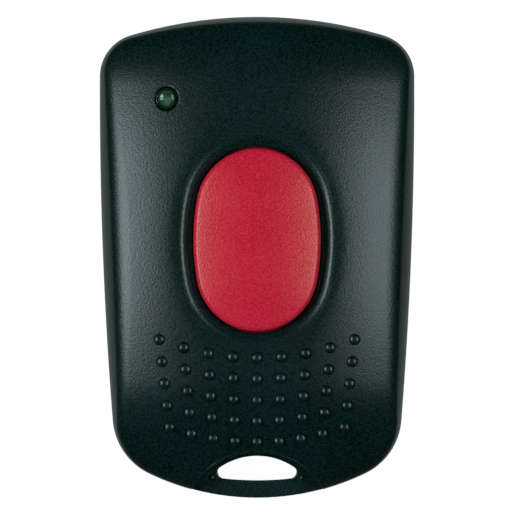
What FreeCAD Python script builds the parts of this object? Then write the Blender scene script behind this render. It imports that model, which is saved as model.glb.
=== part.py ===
import FreeCAD, Part
import math
import os

# Hand-held radio transmitter with one large thumb button and a key-ring bar at its foot.
# It lies on its back: X runs across the case, Y along it towards the lamp, Z up through the button.
# The origin is the middle of the flat back. All sizes are in millimetres.

# Case outline, seen from above
body_width = 36.6
body_length = 56.0
widest_from_head = 9.1          # the sides taper gently from here to the foot
side_radius = 478.0
head_radius = 51.4
head_corner_radius = 5.0
foot_radius = 29.0
foot_corner_radius = 7.5

# Case heights and walls
parting_z = 4.6                 # joint between rear and front cover
wall = 1.5
floor_thickness = 1.4
back_edge_radius = 1.5
tongue_height = 0.8             # lip of the rear cover that locates the front cover
tongue_gap = 0.08

# Front face: arched both ways, with a flat land round the button
crown_z = 13.2                  # top of the arch if the land were not cut
land_z = 12.33
across_radius = 54.0
along_radius = 120.0
head_bend_length = 8.2          # the face falls faster in these two end stretches
head_bend_radius = 24.0
foot_bend_length = 14.0
foot_bend_radius = 30.0
face_margin = 1.35              # the face is drawn this far past the case
face_columns = 8
face_rows = 22
flank_draft = 0.08              # side wall of the front cover: lean and bow per millimetre of height
flank_bow = 0.0245
flank_sections = 3
crease_radius = 2.2             # rounds the edge between the sides and the face

# Thumb button
button_y = 2.03
button_half_width = 7.35
button_half_length = 10.5
button_side_radius = 26.0
button_top_z = 14.0
button_shoulder = 1.4           # height and width of the rounding up to the middle of the top
button_shoulder_width = 5.0
button_sections = 5
button_wall = 1.2
button_gap = 0.2
button_rib = 0.8
flange_reach = 1.0
flange_thickness = 0.8
seat_sink = 0.12                # depth of the flat seat that the flange bears on

# Ring round the button where the front cover slopes down to its opening
dish_side_reach = 1.4
dish_end_reach = 1.45
dish_depth = 0.65
dish_start = 0.6                # share of the depth that an even slope gives; the rest grows inwards
dish_sections = 4               # the last one lies outside the rim

# Grip domes
dome_rows = 5
dome_columns = 9
dome_diameter = 1.25
dome_height = 0.42
dome_dish_gap = 1.48            # first row to dish, last row to notch
dome_notch_gap = 1.35
dome_column_pitch = 2.783
dome_pitch_loss = 0.069          # each row is a little narrower than the one above
dome_row_radius = 30.9          # rows curve up towards the sides

# Key-ring bar at the foot
notch_radius = 8.78
notch_centre_out = 3.22         # the notch is struck from a point beyond the foot
bar_z = 4.0
slot_width = 9.27
slot_top_in = 4.86              # the slot's two long sides, from the foot of the case
slot_top_radius = 7.7
slot_foot_in = 1.93
slot_foot_radius = 36.0
slot_end_radius_min = 0.2
slot_edge = 0.3
pip_x = 5.3
pip_in = 2.35
pip_radius = 0.35
pip_height = 0.15

# Snap hook at the head, which holds the covers together with the screw
hook_width = 6.0
hook_thickness = 0.8
hook_inset = 1.9                # outer side of the arm, from the head of the case
hook_below = 2.0
hook_above = 2.4
hook_barb = 0.55
hook_barb_height = 0.7
hook_gap = 0.12

# Cover screw
screw_in = 11.0                 # from the foot of the case
screw_shank_radius = 1.0
screw_head_radius = 2.0
screw_head_height = 1.3
screw_head_edge = 0.35
screw_sink = 0.3
screw_length = 7.0
screw_cross_width = 0.6
screw_cross_length = 2.3
screw_cross_depth = 0.8
screw_gap = 0.15
screw_bite_gap = 0.03
boss_wall = 1.3
boss_gap = 0.1

# Coin cell and its contacts
cell_from_screw = 14.0
cell_radius = 10.0
cell_thickness = 3.2
cell_cap_radius = 8.85
cell_cap_rise = 0.3
cell_edge = 0.4
sheet = 0.25
clip_floor_gap = 0.15
clip_width = 5.0
clip_side_gap = 0.15
clip_foot = 1.8
contact_radius = 3.5
contact_arm_width = 1.6

# Circuit board
board_thickness = 1.0
board_edge_gap = 0.6
post_radius = 1.2
post_head_side = 5.1            # post centres, from the case's side and end
post_head_end = 7.5
post_foot_side = 5.9
post_foot_end = 15.5

# Key switch under the button
switch_width = 6.0
switch_base_height = 3.1
switch_plate = 0.25
switch_plate_hole_radius = 1.95
switch_height = 4.3
switch_stem_radius = 1.75
switch_disc_radius = 2.3
switch_disc_thickness = 0.4
switch_well_radius = 2.6
switch_well_depth = 1.3
switch_dome_thickness = 0.12
switch_dome_gap = 0.05
switch_dome_crown = 1.0
switch_dome_lip = 0.3
switch_leg_width = 0.7
switch_leg_reach = 1.3
switch_leg_spread = 2.25
rivet_radius = 0.4
rivet_height = 0.15

# Status lamp
lamp_side = 7.96                # centre from the case's side and head
lamp_end = 9.88
lamp_radius = 1.055
lamp_hole_radius = 1.26
lamp_proud = 0.15
lamp_length = 3.0
lamp_flange_radius = 1.45
lamp_flange_height = 0.5
lead_width = 0.4
lead_spread = 0.64
lead_tail = 0.6
lead_hole_gap = 0.1

# Parts soldered on the board
chip_x = 8.6
chip_y = 13.6
chip_width = 3.9
chip_length = 4.9
chip_height = 1.4
chip_lift = 0.1
chip_edge = 0.18
chip_mark_radius = 0.4
chip_mark_depth = 0.1
chip_pins = 4                   # on each side
chip_pin_pitch = 1.27
chip_pin_width = 0.42
chip_pin_reach = 1.0
pin_thickness = 0.2
filter_x = -9.6
filter_y = -1.0
filter_size = 5.0
filter_height = 1.4
filter_rim = 0.4
crystal_x = 9.4
crystal_y = 6.0
crystal_width = 3.2
crystal_length = 5.0
crystal_height = 1.1
crystal_step = 0.3
transistor_x = -9.6
transistor_y = -7.0
transistor_width = 1.3
transistor_length = 2.9
transistor_height = 1.1
transistor_edge = 0.14
transistor_leg_offset = 0.95
chip_part_length = 1.6
chip_part_width = 0.8
chip_part_sink = 0.03           # the middle lies this much below the solder ends
capacitor_height = 0.8
resistor_height = 0.45
coil_radius = 1.15
coil_wire = 0.46
coil_nesting = 0.04             # neighbouring turns run this far into each other
coil_turns = 6
coil_flat = 0.3                 # share of a turn's width taken by each slope of its groove
coil_x = -4.2
coil_y = -9.6

# Wire aerial along the right side of the board
aerial_inset = 1.8              # from the board's edge
aerial_foot_y = -9.0
aerial_head_y = 14.0
aerial_radius = 0.4
aerial_lift = 1.7
aerial_tail = 0.6

# Places that follow from the sizes above
widest_y = body_length / 2 - widest_from_head
head_bend_y = body_length / 2 - head_bend_length
foot_bend_y = foot_bend_length - body_length / 2
notch_centre_y = -(body_length / 2 + notch_centre_out)
slot_top_y = slot_top_in - body_length / 2
slot_foot_y = slot_foot_in - body_length / 2
pip_y = pip_in - body_length / 2
dome_first_y = button_y - button_half_length - dish_end_reach - dome_dish_gap
dome_last_y = notch_centre_y + notch_radius + dome_notch_gap
dome_row_pitch = (dome_first_y - dome_last_y) / (dome_rows - 1)
screw_y = screw_in - body_length / 2
cell_y = screw_y + cell_from_screw
post_places = [(body_width / 2 - post_head_side, body_length / 2 - post_head_end),
               (body_width / 2 - post_foot_side, post_foot_end - body_length / 2)]
lamp_x = lamp_side - body_width / 2
lamp_y = body_length / 2 - lamp_end
aerial_x = body_width / 2 - wall - board_edge_gap - aerial_inset

# Heights that follow from the sizes above
clip_z = floor_thickness + clip_floor_gap
cell_z = clip_z + sheet
board_z = cell_z + cell_thickness + sheet
board_top = board_z + board_thickness
seat_z = land_z - wall + seat_sink
plunger_top = board_top + switch_height

# Pattern of the small two-ended parts: place and quarter turns
capacitor_places = [(4.6, 10.2, 0), (-4.6, 10.6, 1), (-4.6, 14.2, 0), (-12.8, 9.6, 1),
                    (5.4, -4.8, 1), (9.4, -0.4, 0), (2.4, 18.6, 0), (-5.2, -4.6, 0)]
resistor_places = [(-8.4, 13.4, 1), (-1.2, 18.6, 1), (9.4, -3.4, 0), (12.0, 10.4, 1),
                   (5.0, -8.4, 0), (-13.2, 5.6, 1)]

V = FreeCAD.Vector


def mirrored(point):
    return V(-point.x, point.y, point.z)


def arc(first, middle, last):
    return Part.Arc(first, middle, last).toShape()


def towards(centre, target, radius):
    way = target.sub(centre)
    way.normalize()
    return centre + way * radius


def nested_centre(big, big_radius, other, other_radius, radius, upper):
    """Centre of a circle that touches two larger circles from inside."""
    span = other.sub(big)
    distance = span.Length
    along = V(span)
    along.normalize()
    reach = ((big_radius - radius) ** 2 - (other_radius - radius) ** 2 + distance ** 2) / (2 * distance)
    side = math.sqrt((big_radius - radius) ** 2 - reach ** 2)
    across = V(-along.y, along.x, 0)
    choices = [big + along * reach + across * side, big + along * reach - across * side]
    choices.sort(key=lambda point: point.y)
    return choices[1] if upper else choices[0]


def case_outline(inset, z):
    """Closed outline of tangent arcs, moved in by inset, at height z."""
    side = V(body_width / 2 - side_radius, widest_y, 0)
    head = V(0, body_length / 2 - head_radius, 0)
    foot = V(0, foot_radius - body_length / 2, 0)
    head_corner = nested_centre(side, side_radius, head, head_radius, head_corner_radius, True)
    foot_corner = nested_centre(side, side_radius, foot, foot_radius, foot_corner_radius, False)
    lift = V(0, 0, z)
    low = towards(side, foot_corner, side_radius - inset) + lift
    high = towards(side, head_corner, side_radius - inset) + lift
    head_end = towards(head, head_corner, head_radius - inset) + lift
    foot_end = towards(foot, foot_corner, foot_radius - inset) + lift
    side_middle = towards(side, (low + high) * 0.5 - lift, side_radius - inset) + lift
    head_bend = towards(head_corner, (high + head_end) * 0.5 - lift, head_corner_radius - inset) + lift
    foot_bend = towards(foot_corner, (low + foot_end) * 0.5 - lift, foot_corner_radius - inset) + lift
    head_middle = V(0, body_length / 2 - inset, z)
    foot_middle = V(0, inset - body_length / 2, z)
    return Part.Wire([
        arc(low, side_middle, high),
        arc(high, head_bend, head_end),
        arc(head_end, head_middle, mirrored(head_end)),
        arc(mirrored(head_end), mirrored(head_bend), mirrored(high)),
        arc(mirrored(high), mirrored(side_middle), mirrored(low)),
        arc(mirrored(low), mirrored(foot_bend), mirrored(foot_end)),
        arc(mirrored(foot_end), foot_middle, foot_end),
        arc(foot_end, foot_bend, low)])


def oval(side_grow, end_grow, z):
    """Four-arc oval round the button's centre, larger than the button by the two amounts."""
    half_width = button_half_width + side_grow
    half_length = button_half_length + end_grow
    side_r = button_side_radius + side_grow
    end_r = (2 * side_r * half_width - half_width ** 2 - half_length ** 2) / (2 * (side_r - half_length))
    side = V(half_width - side_r, 0, 0)
    end = V(0, half_length - end_r, 0)
    join = towards(side, end, side_r)
    bend = towards(end, (join + V(0, half_length, 0)) * 0.5, end_r)
    place = V(0, button_y, z)
    right = V(half_width, 0, 0)
    low_join = V(join.x, -join.y, 0)
    low_bend = V(0, -half_length, 0)
    top = V(0, half_length, 0)
    return Part.Wire([
        arc(low_join + place, right + place, join + place),
        arc(join + place, top + place, mirrored(join) + place),
        arc(mirrored(join) + place, mirrored(right) + place, mirrored(low_join) + place),
        arc(mirrored(low_join) + place, low_bend + place, low_join + place)])


def prism(wire, height):
    return Part.Face(wire).extrude(V(0, 0, height))


def cylinder(radius, height, x, y, z):
    return Part.makeCylinder(radius, height, V(x, y, z))


def block(width, length, height, x, y, z):
    """Box centred on x and y, standing on z."""
    return Part.makeBox(width, length, height, V(x - width / 2, y - length / 2, z))


def fused(shapes):
    return shapes[0].multiFuse(shapes[1:]).removeSplitter()


def save(name, shape):
    shape.exportStep("parts/" + name + ".step")
    print(name, shape.isValid(), len(shape.Solids), round(shape.Volume, 2))


def plan(inset, z, height):
    """Case outline less the key-ring notch, both moved in by inset, as a prism."""
    body = prism(case_outline(inset, z), height)
    return body.cut(cylinder(notch_radius + inset, height, 0, notch_centre_y, z))


def face_height(x, y):
    """Height of the front face's double arch, before its crown is cut off flat."""
    d = y - button_y
    drop = x * x / (2 * across_radius) + d * d / (2 * along_radius)
    if y > head_bend_y:
        drop += (y - head_bend_y) ** 2 / (2 * head_bend_radius)
    if y < foot_bend_y:
        drop += (foot_bend_y - y) ** 2 / (2 * foot_bend_radius)
    return crown_z - drop


def under_face(lowered):
    """Everything under the arched front face, or under the same face lowered by a wall."""
    half_x = body_width / 2 + face_margin
    half_y = body_length / 2 + face_margin
    grid = []
    for i in range(face_columns + 1):
        x = half_x * (2 * i / face_columns - 1)
        grid.append([])
        for j in range(face_rows + 1):
            y = half_y * (2 * j / face_rows - 1)
            grid[i].append(V(x, y, face_height(x, y) - lowered))
    surface = Part.BSplineSurface()
    surface.interpolate(grid)
    return surface.toShape().extrude(V(0, 0, -2 * crown_z))


def flank_body(inset, top):
    """Solid inside the bowed side wall, from the parting line up to height top."""
    sections = []
    for i in range(flank_sections):
        h = (top - parting_z) * i / (flank_sections - 1)
        sections.append(case_outline(inset + flank_draft * h + flank_bow * h * h, parting_z + h))
    return Part.makeLoft(sections, True, False)


def arched_body(inset, lowered):
    """Form of the front cover, outside or inside: bowed sides, arched face, flat land."""
    return flank_body(inset, land_z - lowered).common(under_face(lowered))


def crease_rounded(body):
    """The same body with its edge rounded all the way round, between sides and face."""
    crease = [edge for edge in body.Edges if parting_z + tongue_gap < edge.BoundBox.ZMin < land_z - tongue_gap]
    return body.makeFillet(crease_radius, crease)


def notch(inset):
    """Round cut at the foot of the front cover that leaves the key-ring bar free."""
    return cylinder(notch_radius + inset, crown_z, 0, notch_centre_y, parting_z)


def dish_tool():
    """Cut for the sloping ring, from the button opening out to its rim and a little past it."""
    sections = []
    for i in range(dish_sections):
        out = i / (dish_sections - 2)
        side = button_gap + (dish_side_reach - button_gap) * out
        end = button_gap + (dish_end_reach - button_gap) * out
        fall = dish_start * (1 - out) + (1 - dish_start) * (1 - out) ** 2
        sections.append(oval(side, end, land_z - dish_depth * fall))
    return Part.makeLoft(sections, True, False)


def grip_domes():
    """Rows of balls that stand out of the face by the dome height."""
    radius = ((dome_diameter / 2) ** 2 + dome_height ** 2) / (2 * dome_height)
    domes = []
    for row in range(dome_rows):
        pitch = dome_column_pitch - dome_pitch_loss * row
        for column in range(dome_columns):
            x = (column - (dome_columns - 1) / 2) * pitch
            rise = dome_row_radius - math.sqrt(dome_row_radius ** 2 - x * x)
            y = dome_first_y - dome_row_pitch * row + rise
            top = min(face_height(x, y), land_z) + dome_height
            domes.append(Part.makeSphere(radius, V(x, y, top - radius)))
    return domes


def posts(z, top):
    """Four posts that hold the board, from z up to the given height, or to the roof if it is 0."""
    shapes = []
    for x, y in post_places:
        height = (top if top else face_height(x, y) - wall / 2) - z
        for side in (-1, 1):
            shapes.append(cylinder(post_radius, height, side * x, y, z))
    return shapes


def snap_hook(grow):
    """Hook on the rear cover, or with grow its pocket in the front cover."""
    arm_y = body_length / 2 - hook_inset - hook_thickness / 2
    width = hook_width + 2 * grow
    barb_z = parting_z + hook_above - hook_barb_height - grow
    barb_length = hook_thickness + hook_barb + grow
    return block(width, barb_length, hook_barb_height + 2 * grow, 0, arm_y + (hook_barb + grow) / 2, barb_z)


def front_cover():
    outside = crease_rounded(arched_body(0, 0)).cut(notch(0))
    shell = outside.cut(dish_tool()).cut(arched_body(wall, wall).cut(notch(wall)))
    shell = shell.cut(plan(wall / 2 - tongue_gap, parting_z, tongue_height + tongue_gap))
    boss_z = parting_z + boss_gap
    boss_height = face_height(0, screw_y) - wall / 2 - boss_z
    boss = cylinder(screw_shank_radius + boss_wall, boss_height, 0, screw_y, boss_z)
    shell = fused([shell, boss] + posts(board_top, 0) + grip_domes())
    pilot = screw_sink + screw_head_height + screw_length + 2 * screw_gap
    shell = shell.cut(cylinder(screw_shank_radius + screw_bite_gap, pilot, 0, screw_y, 0))
    shell = shell.cut(prism(oval(button_gap, button_gap, 0), crown_z))
    seat_grow = flange_reach + button_gap
    shell = shell.cut(prism(oval(seat_grow, seat_grow, parting_z), seat_z - parting_z))
    shell = shell.cut(snap_hook(hook_gap))
    return shell.cut(cylinder(lamp_hole_radius, crown_z, lamp_x, lamp_y, 0))


def key_slot():
    """D-shaped opening: a round-topped and a nearly straight arc, joined by small end arcs."""
    top = V(0, slot_top_y - slot_top_radius, 0)
    foot = V(0, slot_foot_y + slot_foot_radius, 0)
    low = slot_end_radius_min
    high = (slot_top_y - slot_foot_y) / 2
    for _ in range(40):
        radius = (low + high) / 2
        end = nested_centre(top, slot_top_radius, foot, slot_foot_radius, radius, False)
        if abs(end.x) + radius > slot_width / 2:
            low = radius
        else:
            high = radius
    end = V(abs(end.x), end.y, 0)
    upper = towards(top, end, slot_top_radius)
    lower = towards(foot, end, slot_foot_radius)
    tip = end + V(radius, 0, 0)
    return Part.Wire([
        arc(lower, tip, upper),
        arc(upper, V(0, slot_top_y, 0), mirrored(upper)),
        arc(mirrored(upper), mirrored(tip), mirrored(lower)),
        arc(mirrored(lower), V(0, slot_foot_y, 0), lower)])


def rear_cover():
    tray = prism(case_outline(0, 0), parting_z)
    back = [edge for edge in tray.Edges if edge.BoundBox.ZMax < wall / 2]
    tray = tray.makeFillet(back_edge_radius, back)
    tray = tray.cut(cylinder(notch_radius, parting_z, 0, notch_centre_y, bar_z))
    tray = tray.cut(plan(wall, floor_thickness, parting_z))
    tray = tray.cut(prism(key_slot(), parting_z))
    rim = [edge for edge in tray.Edges if edge.BoundBox.ZMin > bar_z - wall / 2
           and edge.BoundBox.YMin > slot_foot_y - wall / 2 and edge.BoundBox.YMax < slot_top_y + wall / 2]
    tray = tray.makeChamfer(slot_edge, rim)
    lip_height = tongue_height + wall
    lip = plan(wall / 2, parting_z - wall, lip_height).cut(plan(wall, parting_z - wall, lip_height))
    boss = cylinder(screw_shank_radius + boss_wall + screw_gap, parting_z - floor_thickness / 2,
                    0, screw_y, floor_thickness / 2)
    pip_ball = (pip_radius ** 2 + pip_height ** 2) / (2 * pip_height)
    pips = []
    for side in (-1, 1):
        pips.append(Part.makeSphere(pip_ball, V(side * pip_x, pip_y, bar_z + pip_height - pip_ball)))
    arm_y = body_length / 2 - hook_inset - hook_thickness / 2
    arm_z = parting_z - hook_below
    arm = block(hook_width, hook_thickness, hook_below + hook_above, 0, arm_y, arm_z)
    web = block(hook_width, hook_inset, hook_below, 0, body_length / 2 - hook_inset / 2 - wall / 2, arm_z)
    tray = fused([tray, lip, boss, arm, web, snap_hook(0)] + pips + posts(floor_thickness / 2, board_z))
    tray = tray.cut(cylinder(screw_head_radius + screw_gap, screw_sink + screw_head_height, 0, screw_y, 0))
    return tray.cut(cylinder(screw_shank_radius + screw_gap, crown_z, 0, screw_y, 0))


def button_cap():
    """Oval cap with a softly rounded top: straight sides, then a quarter-ellipse shoulder."""
    shoulder_z = button_top_z - button_shoulder
    sections = []
    for i in range(button_sections):
        turn = math.radians(90 * i / (button_sections - 1))
        grow = button_shoulder_width * (math.cos(turn) - 1)
        sections.append(oval(grow, grow, shoulder_z + button_shoulder * math.sin(turn)))
    sides = prism(oval(0, 0, seat_z), shoulder_z - seat_z)
    return sides.fuse(Part.makeLoft(sections, True, False))


def push_button():
    flange_z = seat_z - flange_thickness
    flange = prism(oval(flange_reach, flange_reach, flange_z), flange_thickness)
    roof = button_top_z - button_shoulder - button_wall / 2
    hollow = prism(oval(-button_wall, -button_wall, flange_z), roof - flange_z)
    shell = button_cap().fuse(flange).cut(hollow)
    post_height = roof + button_wall / 2 - plunger_top
    post = cylinder(switch_stem_radius, post_height, 0, button_y, plunger_top)
    rib_z = seat_z - flange_thickness / 2
    rib_height = roof + button_wall / 2 - rib_z
    rib_across = block(2 * button_half_width - button_wall, button_rib, rib_height, 0, button_y, rib_z)
    rib_along = block(button_rib, 2 * button_half_length - button_wall, rib_height, 0, button_y, rib_z)
    open_middle = cylinder(switch_disc_radius, rib_height, 0, button_y, rib_z)
    ribs = rib_across.fuse(rib_along).cut(open_middle)
    return fused([shell, post, ribs])


def cover_screw():
    head = cylinder(screw_head_radius, screw_head_height, 0, screw_y, screw_sink)
    rim = [edge for edge in head.Edges if edge.BoundBox.ZMax < screw_sink + screw_head_height / 2]
    head = head.makeChamfer(screw_head_edge, rim)
    shank_z = screw_sink + screw_head_height
    shank = cylinder(screw_shank_radius, screw_length, 0, screw_y, shank_z)
    tip = [edge for edge in shank.Edges if edge.BoundBox.ZMin > shank_z + screw_length / 2]
    shank = shank.makeChamfer(screw_shank_radius / 2, tip)
    cross = []
    for width, length in [(screw_cross_width, screw_cross_length), (screw_cross_length, screw_cross_width)]:
        cross.append(block(width, length, screw_cross_depth, 0, screw_y, screw_sink))
    return fused([head, shank]).cut(fused(cross))


def coin_cell():
    """Can turned from one profile, with its smaller cap up against the board's contact."""
    top = cell_z + cell_thickness
    shoulder = top - cell_cap_rise
    points = [V(0, 0, cell_z), V(cell_radius - cell_edge, 0, cell_z), V(cell_radius, 0, cell_z + cell_edge),
              V(cell_radius, 0, shoulder), V(cell_cap_radius, 0, shoulder), V(cell_cap_radius, 0, top),
              V(0, 0, top), V(0, 0, cell_z)]
    cell = Part.Face(Part.makePolygon(points)).revolve(V(0, 0, 0), V(0, 0, 1), 360)
    cell.translate(V(0, cell_y, 0))
    return cell


def battery_clip():
    """Strip folded round the cell, with a foot on the board at each end."""
    inner = cell_radius + clip_side_gap
    foot_end = inner + sheet + clip_foot
    outline = [V(0, 0, clip_z), V(inner + sheet, 0, clip_z), V(inner + sheet, 0, board_z - sheet),
               V(foot_end, 0, board_z - sheet), V(foot_end, 0, board_z), V(inner, 0, board_z),
               V(inner, 0, cell_z), V(0, 0, cell_z), V(0, 0, clip_z)]
    half = Part.Face(Part.makePolygon(outline)).extrude(V(0, clip_width, 0))
    half.translate(V(0, cell_y - clip_width / 2, 0))
    other = half.mirror(V(0, 0, 0), V(1, 0, 0))
    return fused([half, other])


def battery_contact():
    """Soldered contact plate with four arms, between the cell's cap and the board."""
    plate = cylinder(contact_radius / 2, sheet, 0, cell_y, board_z - sheet)
    arms = [block(2 * contact_radius, contact_arm_width, sheet, 0, cell_y, board_z - sheet),
            block(contact_arm_width, 2 * contact_radius, sheet, 0, cell_y, board_z - sheet)]
    return fused([plate] + arms)


def circuit_board():
    inset = wall + board_edge_gap
    board = plan(inset, board_z, board_thickness)
    boss_hole = screw_shank_radius + boss_wall + board_edge_gap / 2
    holes = [cylinder(boss_hole, board_thickness, 0, screw_y, board_z)]
    for side in (-1, 1):
        lead_hole = lead_width / math.sqrt(2) + lead_hole_gap
        holes.append(cylinder(lead_hole, board_thickness, lamp_x + side * lead_spread, lamp_y, board_z))
    for y in (aerial_foot_y, aerial_head_y):
        holes.append(cylinder(aerial_radius + lead_hole_gap, board_thickness, aerial_x, y, board_z))
    hook_room = block(hook_width + 2 * board_edge_gap, body_length, board_thickness, 0,
                      body_length - hook_inset - hook_thickness - board_edge_gap, board_z)
    return board.cut(holes + [hook_room])


def switch_base():
    body = block(switch_width, switch_width, switch_base_height, 0, button_y, board_top)
    well_z = board_top + switch_base_height - switch_well_depth
    body = body.cut(cylinder(switch_well_radius, switch_well_depth, 0, button_y, well_z))
    rivets = []
    reach = switch_width / 2 - 2 * rivet_radius
    for sx in (-1, 1):
        for sy in (-1, 1):
            rivets.append(cylinder(rivet_radius, switch_plate + rivet_height, sx * reach,
                                   button_y + sy * reach, board_top + switch_base_height))
    return fused([body] + rivets)


def switch_cover():
    plate_z = board_top + switch_base_height
    plate = block(switch_width, switch_width, switch_plate, 0, button_y, plate_z)
    cuts = [cylinder(switch_plate_hole_radius, switch_plate, 0, button_y, plate_z)]
    reach = switch_width / 2 - 2 * rivet_radius
    for sx in (-1, 1):
        for sy in (-1, 1):
            cuts.append(cylinder(rivet_radius, switch_plate, sx * reach, button_y + sy * reach, plate_z))
    return plate.cut(cuts)


def switch_plunger():
    disc_top = board_top + switch_base_height
    disc = cylinder(switch_disc_radius, switch_disc_thickness, 0, button_y, disc_top - switch_disc_thickness)
    stem_height = plunger_top - disc_top + switch_disc_thickness / 2
    stem = cylinder(switch_stem_radius, stem_height, 0, button_y, plunger_top - stem_height)
    return fused([disc, stem])


def switch_dome():
    """Thin snap spring: a shallow cone with a flat crown, standing on the floor of the well."""
    floor_z = board_top + switch_base_height - switch_well_depth
    rise = switch_well_depth - switch_disc_thickness - switch_dome_gap
    foot = switch_well_radius - 2 * switch_dome_gap
    outer = Part.makeCone(foot, switch_dome_crown, rise, V(0, button_y, floor_z))
    inner = Part.makeCone(foot - switch_dome_lip, switch_dome_crown - switch_dome_lip / 2,
                          rise - switch_dome_thickness, V(0, button_y, floor_z))
    return outer.cut(inner)


def gull_leg(reach, height, width, thickness):
    """Bent leg: out of the body, down, and out again on the board; it points along +X from x = 0."""
    knee = reach / 2
    points = [V(0, 0, height), V(knee + thickness / 2, 0, height), V(knee + thickness / 2, 0, thickness),
              V(reach, 0, thickness), V(reach, 0, 0), V(knee - thickness / 2, 0, 0),
              V(knee - thickness / 2, 0, height - thickness), V(0, 0, height - thickness), V(0, 0, height)]
    leg = Part.Face(Part.makePolygon(points)).extrude(V(0, width, 0))
    leg.translate(V(0, -width / 2, 0))
    return leg


def leg_rows(half_body, reach, height, width, offsets, x, y, thickness):
    """Legs along both long sides of a body, at the given offsets in Y."""
    legs = []
    for offset in offsets:
        right = gull_leg(reach, height, width, thickness)
        right.translate(V(half_body, 0, 0))
        left = right.mirror(V(0, 0, 0), V(1, 0, 0))
        for leg in (right, left):
            leg.translate(V(x, y + offset, board_top))
            legs.append(leg)
    return Part.makeCompound(legs)


def switch_terminals():
    offsets = [-switch_leg_spread, switch_leg_spread]
    return leg_rows(switch_width / 2, switch_leg_reach, 4 * pin_thickness, switch_leg_width,
                    offsets, 0, button_y, pin_thickness)


def lamp_base_z():
    return face_height(lamp_x, lamp_y) + lamp_proud - lamp_length


def status_lamp():
    z = lamp_base_z()
    flange = cylinder(lamp_flange_radius, lamp_flange_height, lamp_x, lamp_y, z)
    body = cylinder(lamp_radius, lamp_length - lamp_radius, lamp_x, lamp_y, z)
    dome = Part.makeSphere(lamp_radius, V(lamp_x, lamp_y, z + lamp_length - lamp_radius))
    return fused([flange, body, dome])


def lamp_leads():
    top = lamp_base_z()
    foot = board_z - lead_tail
    leads = []
    for side in (-1, 1):
        leads.append(block(lead_width, lead_width, top - foot, lamp_x + side * lead_spread, lamp_y, foot))
    return Part.makeCompound(leads)


def encoder_chip():
    body = block(chip_width, chip_length, chip_height, chip_x, chip_y, board_top + chip_lift)
    upper = [edge for edge in body.Edges if edge.BoundBox.ZMin > board_top + chip_height / 2]
    body = body.makeChamfer(chip_edge, upper)
    mark_x = chip_x - chip_width / 4
    mark_y = chip_y + chip_length / 3
    mark_z = board_top + chip_lift + chip_height - chip_mark_depth
    return body.cut(cylinder(chip_mark_radius, chip_mark_depth, mark_x, mark_y, mark_z))


def encoder_chip_legs():
    offsets = [chip_pin_pitch * (i - (chip_pins - 1) / 2) for i in range(chip_pins)]
    return leg_rows(chip_width / 2, chip_pin_reach, chip_lift + chip_height / 2, chip_pin_width,
                    offsets, chip_x, chip_y, pin_thickness)


def radio_filter():
    body = block(filter_size, filter_size, filter_height, filter_x, filter_y, board_top)
    lid_size = filter_size - 2 * filter_rim
    lid = block(lid_size, lid_size, filter_rim / 2, filter_x, filter_y, board_top + filter_height)
    return fused([body, lid])


def clock_crystal():
    body = block(crystal_width, crystal_length, crystal_height - crystal_step, crystal_x, crystal_y, board_top)
    can = block(crystal_width - 2 * crystal_step, crystal_length - 2 * crystal_step, crystal_step,
                crystal_x, crystal_y, board_top + crystal_height - crystal_step)
    return fused([body, can])


def radio_transistor():
    body = block(transistor_width, transistor_length, transistor_height - chip_lift,
                 transistor_x, transistor_y, board_top + chip_lift)
    upper = [edge for edge in body.Edges if edge.BoundBox.ZMin > board_top + transistor_height / 2]
    return body.makeChamfer(transistor_edge, upper)


def radio_transistor_legs():
    legs = []
    for side, offset in [(1, -transistor_leg_offset), (1, transistor_leg_offset), (-1, 0)]:
        leg = gull_leg(chip_pin_reach / 2, transistor_height / 2, chip_pin_width, pin_thickness / 2)
        leg.translate(V(transistor_width / 2, offset, 0))
        if side < 0:
            leg = leg.mirror(V(0, 0, 0), V(1, 0, 0))
        leg.translate(V(transistor_x, transistor_y, board_top))
        legs.append(leg)
    return Part.makeCompound(legs)


def two_ended_parts(places, height):
    """Small bricks with raised solder ends, turned by quarter turns."""
    parts = []
    for x, y, turns in places:
        body = block(chip_part_length, chip_part_width, height, 0, 0, 0)
        middle = block(chip_part_length / 2, chip_part_width, chip_part_sink, 0, 0, height - chip_part_sink)
        brick = body.cut(middle)
        brick.rotate(V(0, 0, 0), V(0, 0, 1), 90 * turns)
        brick.translate(V(x, y, board_top))
        parts.append(brick)
    return Part.makeCompound(parts)


def radio_coil():
    """Close-wound coil lying on the board, turned from one grooved half-profile."""
    pitch = coil_wire - coil_nesting
    z = board_top + coil_radius + coil_wire / 2
    start = coil_x - pitch * coil_turns / 2
    points = [V(start, 0, 0)]
    for i in range(coil_turns):
        points.append(V(start + i * pitch, 0, coil_radius))
        points.append(V(start + (i + coil_flat) * pitch, 0, coil_radius + coil_wire / 2))
        points.append(V(start + (i + 1 - coil_flat) * pitch, 0, coil_radius + coil_wire / 2))
    points.append(V(start + coil_turns * pitch, 0, coil_radius))
    points.append(V(start + coil_turns * pitch, 0, 0))
    points.append(points[0])
    coil = Part.Face(Part.makePolygon(points)).revolve(V(0, 0, 0), V(1, 0, 0), 360)
    coil.translate(V(0, coil_y, z))
    return coil


def aerial_wire():
    """Round wire bridge: up through the board, along its side, and down again."""
    low = board_z - aerial_tail
    high = board_top + aerial_lift
    corners = [V(aerial_x, aerial_foot_y, low), V(aerial_x, aerial_foot_y, high),
               V(aerial_x, aerial_head_y, high), V(aerial_x, aerial_head_y, low)]
    ring = Part.Wire(Part.makeCircle(aerial_radius, corners[0], V(0, 0, 1)))
    return Part.Wire(Part.makePolygon(corners)).makePipeShell([ring], True, True, 1)


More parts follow.
